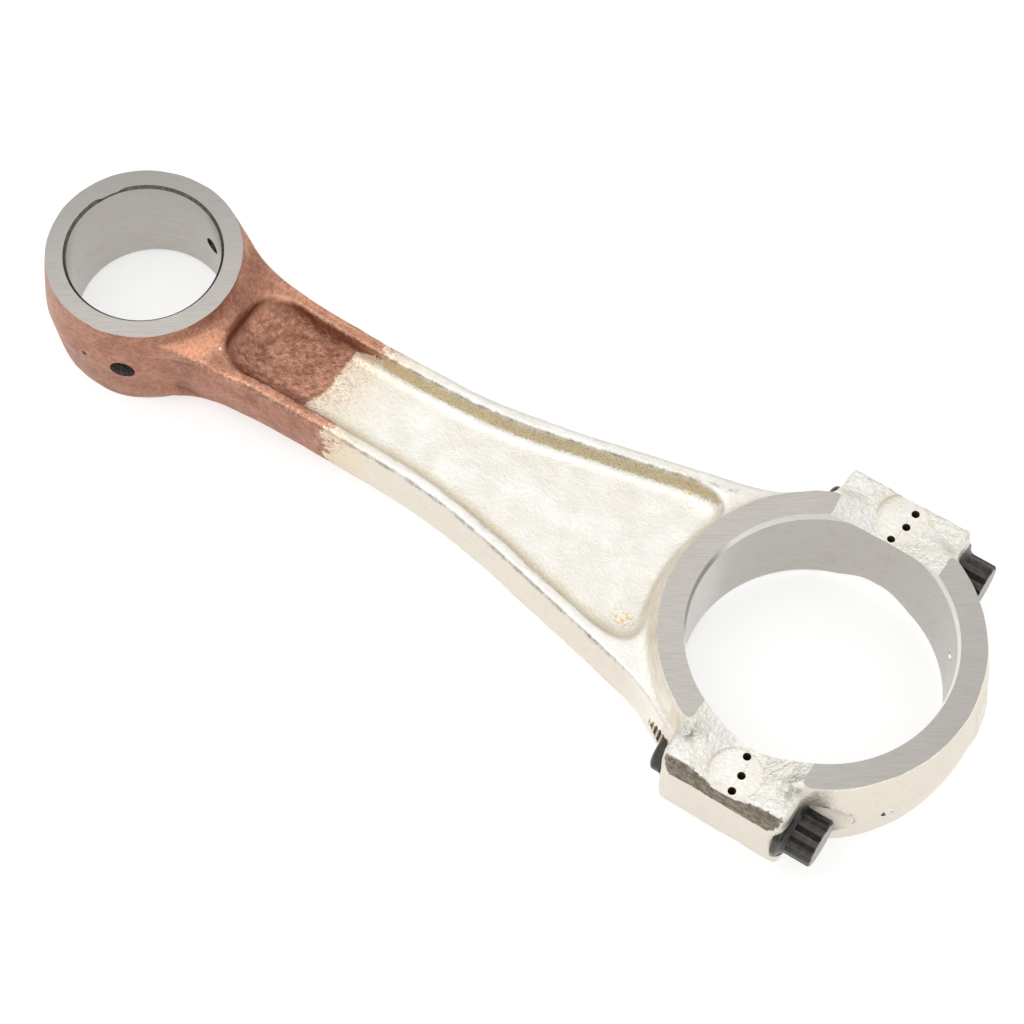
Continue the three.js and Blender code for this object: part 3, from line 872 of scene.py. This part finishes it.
def make_cap():
    """The forging from just before the split, then its cuts."""

    def field(x, y, z):
        return np.maximum(forging(x, y, z), -3 - x)

    points, quads = surface(field, (-4, -38, -14), (34, 38, 14))
    piece = mesh_object("cap_forging", points, quads, [look["cap"]])
    # The pit is painted: a dark rim for shade and a near-white floor for a highlight; the bore's dimple is a
    # painted highlight.
    pit = ball_on_wall(1.4, 0, -36, -0.3, BIG_WALL_R + 0.5)
    pit_floor = ball_on_wall(1.1, 0, -35.2, -0.6, BIG_WALL_R + 0.1)
    dimple = ball_on_wall(1.15, 0, 35.8, 1, BIG_BORE_R - 0.35)
    cuts = common + [
        (*pad_group(), look["cap"]),
        (*mark_holes(), look["mark"]),
        (*join([cap_hole(1), cap_hole(-1)]), look["seat"]),
        (*join([seat_cutter(1), seat_cutter(-1)]), look["seat"]),
        (*pit, look["dark"]),
        (*join([pit_floor, dimple]), look["painted_bright"]),
        (*break_block(-1), look["break"]),
    ]
    carve(piece, cuts)
    return piece


def head_radii(limit, columns, corner=4.65, valley=3.86):
    """A twelve-point outline, no further out than the limit."""
    phase = np.abs((np.arange(columns) * 12 / columns + 0.5) % 1 - 0.5) * 2
    return np.minimum(valley + (corner - valley) * smoothstep(phase, 0.97, 0.45), limit)


def make_bolt(name, side):
    """A twelve-point flanged bolt, as one stack of rings from its point to its head."""
    columns = 144
    plain_x, under = 3.0, SEAT_X + 0.06
    top = under + 1.25
    crown = top + 1.2
    point = [(0, 2.6), (0.1, 3.0), (0.5, 3.5), (0.75, 3.62), (2.3, 3.64), (2.5, 3.4)]
    shank_rings = [(plain_x + 0.3, 3.45), (plain_x + 0.9, 3.9), (under - 0.8, 3.9), (under - 0.25, 4.02)]
    flange = [(under, 4.3), (under, 5.9), (under + 0.14, 6.08), (under + 0.4, 6.15)]
    flange += [(top - 0.3, 6.15), (top, 5.95), (top + 0.15, 5.6), (top + 0.42, 5.1)]
    flange += [(top + 0.75, 4.83), (top + 1.15, 4.72)]
    free = 9  # no limit on the head's corners
    head = [(crown, 4.66), (crown + 0.04, free), (crown + 0.5, free)]
    bevel = [(1.6, free), (0.62, free), (0.45, 4.66), (0.3, 4.60), (0.15, 4.48), (0.05, 4.32), (0, 4.12)]
    head += [(HEAD_END_X - back, limit) for back, limit in bevel]
    rings = round_rings([(BOLT_END_X + along, r) for along, r in point], columns)
    rings += threaded_rings(BOLT_END_X + 2.6, plain_x, BOLT_R, BOLT_R - 0.58, columns, 1.2)
    rings += round_rings(shank_rings + flange, columns)
    rings += [(x, head_radii(limit, columns)) for x, limit in head]
    rings.append((HEAD_END_X - 0.02, np.full(columns, 2.2)))
    points, faces = stack(rings, along_x(side * BOLT_Y))
    piece = mesh_object(name, points, faces, [look["oxide"]])
    crease(piece, -1, cut_angle=24)
    x, y, z = own_points(piece).T
    reach = np.hypot(y - side * BOLT_Y, z)
    note(piece, "worn", smoothstep(x, HEAD_END_X - 0.12, HEAD_END_X) * smoothstep(reach, 4.4, 4.0))
    return piece


# ---- Where the plating is worn, stained or thin, and where light and shade are painted ----------


def near(value, middle, width):
    """1 at the middle, falling away over about the width."""
    return np.exp(-(((value - middle) / width) ** 2))


class Skin:
    """Where each point of a forging lies, and how the forging bends there."""

    def __init__(self, piece):
        points = own_points(piece)
        self.x, self.y, self.z = x, y, z = points.T
        self.height, self.side = np.abs(z), np.abs(y)
        self.rho, self.small_rho = np.hypot(x, y), np.hypot(x - SMALL_X, y)
        self.pad_rho = np.hypot(x, self.side - BOLT_Y)
        self.half = shank_half_width(x)
        step = 0.6
        around = sum(forging(*(points + s * step * a).T) for a in np.eye(3) for s in (1, -1))
        self.curve = (around - 6 * forging(x, y, z)) / step**2  # above 0 on an edge, below 0 in a fillet
        self.fold = np.clip(-self.curve * 0.6, 0, 1)
        slope = slope_of(forging, points, 0.3)
        slope /= np.maximum(np.linalg.norm(slope, axis=1), 1e-6)[:, None]
        _, self.out, self.up = np.abs(slope).T
        inside = (self.side < self.half - 1.5) * (x > -131) * (x < -22)
        self.in_pocket = smoothstep(self.height, 5.6, 4.8) * inside
        self.on_web = smoothstep(self.height, 4.5, 3.0) * self.in_pocket
        ramp = smoothstep(x, -122, -126) * smoothstep(self.small_rho, 27, 22)
        self.on_ramp = ramp * smoothstep(self.up, 0.5, 0.75) * smoothstep(self.height, 5.9, 6.6)


# Wear and painted highlight on convex edges and round the big end's thrust faces.
def worn_and_highlit_edges(at):
    burr = near(at.rho, BIG_FACE_R, 0.45) * (at.height > 10.9) * 0.9
    return np.clip(at.curve * 0.9 - 0.35, 0, 1) + burr


def copper_reach(at):
    """Millimetres inside the copper, whose end lies further back on the web and nearer the viewer."""
    back = 5.6 + 0.35 * np.maximum(-at.y - 2, 0)
    return COPPER_END_X - back * at.on_web - at.x


def copper_raggedness(at):
    return 3.6 - 3.1 * at.on_web


def tan_stain(at):
    ring = smoothstep(at.rho, 37, 31) * (at.x < -14) * (at.height < 10) * 0.32
    wall = smoothstep(at.side, at.half - 9.0, at.half - 4.6) * at.in_pocket * (at.y < 0) * (at.x > -103)
    pad = (0.22 + 0.12 * (at.y > 0)) * near(at.pad_rho, PAD_R, 0.5) * (at.height > 7)
    return np.clip(0.25 * at.fold * (at.x > -90) + ring + 0.5 * wall + pad, 0, 1)


def rust_specks(at):
    spots = near(at.x, -34, 4) * near(at.y, -12.5, 3) + near(at.x, -38, 6) * near(at.y, 17, 2)
    return 0.68 * np.clip(spots, 0, 1) * (at.z > 0) * (at.rho > 31)


def stained_wall(at):
    steep = smoothstep(at.out, 0.55, 0.85) * smoothstep(at.height, 2.1, 2.9)
    return at.in_pocket * steep * (at.y > 0) * smoothstep(at.x, -104, -98)


def dirt_and_fold_shade(at):
    """Dirt on the bosses' long chamfers, and painted shade in the corners beside the bosses."""
    band = smoothstep(at.out, 0.74, 0.82) * smoothstep(at.up, 0.26, 0.34) * smoothstep(at.up, 0.66, 0.58)
    band *= (at.side > BOSS_Y - 2.5) * smoothstep(np.abs(at.x), 13.2, 12.4)
    band *= 1 - (at.pad_rho < PAD_R + 0.05) * (np.abs(at.height - PAD_Z) < 0.03)
    # Painted shade in the folds beside the bosses.
    corner = at.fold * smoothstep(np.abs(np.abs(at.x) - 14), 3.5, 1.5)
    corner *= smoothstep(at.height, 6.5, 8.0) * (at.rho > 29)
    return np.clip(band + 0.55 * corner, 0, 1)


def dark_lines_and_painted_shade(at):
    """Dark lines along the flanges, painted shadow round the bolt seats, and painted shade on the shoulders
    beside the near boss.
    """
    outer = near(at.side, at.half - 0.55, 0.42) * near(at.height, 5.75, 0.45) * (at.y < 0)
    inner = near(at.side, at.half - FLANGE + 0.1, 0.35) * near(at.height, 5.7, 0.45) * (at.y > 0)
    on_shank = (at.x > -120) * (at.x < -28)
    # Painted shadow round the bolt seats.
    seat = near(np.hypot(at.side - BOLT_Y, at.z), SEAT_R + 0.1, 0.3) * (at.x > SEAT_X + 0.4)
    # Painted shade on the shoulders beside the near boss.
    shoulder = near(at.x, 10.2, 1.9) * near(at.y, -28, 2.6) + near(at.x, -10.4, 1.7) * near(at.y, -28.4, 2.2)
    return (outer + inner) * on_shank + 0.8 * seat + 1.1 * shoulder * (at.height > 7)


# Painted light on the big bore's wall and painted shade on its chamfer, on the left of the big bore.
def painted_left_of_big_bore(at):
    return (at.rho < 28) * smoothstep(-at.x, 19, 23) * smoothstep(at.y, 9, 1)


# Painted shade on steep sides outside the pocket.
def shade_on_steep_sides(at):
    fillet = smoothstep(at.rho, 37, 32) * (at.x < -16) * (at.height < 10)
    return smoothstep(at.up, 0.75, 0.35) * (1 - at.in_pocket) * (1 - 0.7 * fillet)


# Painted highlight on the copper: on the near ramp and along the flange ridges.
def painted_copper_highlight(at):
    ridge = near(at.side, at.half - 1.25, 0.5) * smoothstep(at.height, 5.3, 5.9)
    ridge *= (at.x > -124) * (at.x < -92)
    return np.clip(0.72 * at.on_ramp * smoothstep(at.y, -1, -8) + 0.45 * ridge, 0, 1)


# Painted shade on the copper: in hollows, low on the small end and on the far ramp.
def painted_copper_shade(at):
    hollow = np.clip(-at.curve * 1.9, 0, 0.62) * (at.x < -98) * smoothstep(at.height, 7.4, 6.6)
    hollow *= (at.side < at.half) * smoothstep(at.small_rho, 19.6, 20.6)
    low_wall = smoothstep(at.z, 4, -8) * smoothstep(at.x, -126, -130)
    return np.clip(0.3 * at.on_ramp * smoothstep(at.y, -2, 3) + hollow + 0.16 * low_wall, 0, 1)


def skin_depth(at):
    """How deep the grain of the forged skin is: deepest in the dip at the split and in the copper pocket."""
    dip = smoothstep(np.abs(at.x), 14, 11) * smoothstep(at.height, 7, 8)
    dip *= 1 - 0.8 * (at.pad_rho < PAD_R + 0.03) * (at.height < PAD_Z + 0.05)
    return 0.5 + 0.9 * dip + 0.8 * at.on_web * smoothstep(at.x, -104, -109)


def painted_steel_shade(at):
    """Painted shade on the ground faces: how dark they are, across each end."""
    small = 0.32 - 0.014 * (at.x - SMALL_X) + 0.016 * at.y
    big = 0.14 + 0.0075 * at.x
    return np.clip(np.where(at.x < -60, small, big), 0, 1)


MARKS = {
    "edge": worn_and_highlit_edges,
    "copper": copper_reach,
    "ragged": copper_raggedness,
    "tan": tan_stain,
    "rust": rust_specks,
    "wall": stained_wall,
    "dirt_and_fold_shade": dirt_and_fold_shade,
    "dark_lines_and_shade": dark_lines_and_painted_shade,
    "left": painted_left_of_big_bore,
    "flank_shade": shade_on_steep_sides,
    "painted_bright": painted_copper_highlight,
    "copper_painted_shade": painted_copper_shade,
    "skin": skin_depth,
    "steel_shade": painted_steel_shade,
}

rod = make_rod()
cap = make_cap()
for piece in (rod, cap):
    closed = crease(piece, 0)
    print(piece.name, len(piece.data.polygons), "faces", "closed" if closed else "open")
    skin = Skin(piece)
    for name, measure in MARKS.items():
        note(piece, name, measure(skin))
bolts = {1: make_bolt("cap_bolt_left", 1), -1: make_bolt("cap_bolt_right", -1)}

for piece, body, node, slot in (
    (rod, "rod", "rod", "rod_forging"),
    (cap, "cap", "cap", "cap_forging"),
    (bolts[1], "bolt_left", "bolt_left", "bolt_oxide"),
    (bolts[-1], "bolt_right", "bolt_right", "bolt_oxide"),
):
    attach(piece, body)
    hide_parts(node)


# ---- Floor, light and camera --------------------------------------------------------------------


def floor():
    s = Shader("floor_white", metallic=0.0)
    colour = s.mix(s.step(s.noise(60, 2), 0.3, 0.7), FLOOR, FLOOR_PALE)
    material = s.finish(colour, 0.9)
    s.put(s.surface.inputs["Emission Color"], (1, 1, 1))
    s.surface.inputs["Emission Strength"].default_value = 0.64
    size = 4000
    z = -BIG_FACE_Z - 0.02
    corners = [(-size, -size, z), (size, -size, z), (size, size, z), (-size, size, z)]
    plane = mesh_object("floor", corners, [(0, 1, 2, 3)], [material])


def sky():
    """A plain studio surround, grey at the horizon and white overhead."""
    world = bpy.data.worlds.new("studio")
    bpy.context.scene.world = world
    world.use_nodes = True
    nodes, links = world.node_tree.nodes, world.node_tree.links
    nodes.clear()
    output = nodes.new("ShaderNodeOutputWorld")
    background = nodes.new("ShaderNodeBackground")
    ramp = nodes.new("ShaderNodeValToRGB")
    split = nodes.new("ShaderNodeSeparateXYZ")
    where = nodes.new("ShaderNodeTexCoord")
    links.new(where.outputs["Generated"], split.inputs[0])
    links.new(split.outputs["Z"], ramp.inputs["Fac"])
    links.new(ramp.outputs["Color"], background.inputs["Color"])
    links.new(background.outputs["Background"], output.inputs["Surface"])
    ramp.color_ramp.elements[0].position = 0.0
    ramp.color_ramp.elements[0].color = (0.50, 0.50, 0.51, 1)
    ramp.color_ramp.elements[1].position = 0.8
    ramp.color_ramp.elements[1].color = (1, 1, 1, 1)
    background.inputs["Strength"].default_value = 1.02


def softbox(name, place, aim, size, power):
    light = bpy.data.lights.new(name, "AREA")
    light.shape = "RECTANGLE"
    light.size, light.size_y = size
    light.energy = power
    made = bpy.data.objects.new(name, light)
    made.location = place
    made.rotation_euler = (Vector(aim) - Vector(place)).to_track_quat("-Z", "Y").to_euler()
    bpy.context.scene.collection.objects.link(made)


def camera():
    """The camera fitted to the photograph, from its place and two of its directions."""
    lens = bpy.data.cameras.new("view")
    lens.lens, lens.sensor_width = 109.22, 36
    lens.clip_start = 0.01
    made = bpy.data.objects.new("view", lens)
    bpy.context.scene.collection.objects.link(made)
    place = Vector((79.26, -235.76, 514.13)) * MM + ORIGIN
    forward = Vector((-0.2455, 0.3986, -0.8837)).normalized()
    right = Vector((0.8418, 0.5398, 0.0096))
    right = (right - right.dot(forward) * forward).normalized()
    up = right.cross(forward)
    made.matrix_world = Matrix.Translation(place) @ Matrix((right, up, -forward)).transposed().to_4x4()
    bpy.context.scene.camera = made


floor()
sky()
softbox("top_light", (-0.20, -0.16, 0.76), (0, 0, 0), (0.45, 0.40), 0.6)
softbox("left_light", (-0.7, -0.1, 0.45), (0, 0, 0), (0.5, 0.5), 0.4)
camera()
bpy.context.scene.view_settings.view_transform = "Standard"
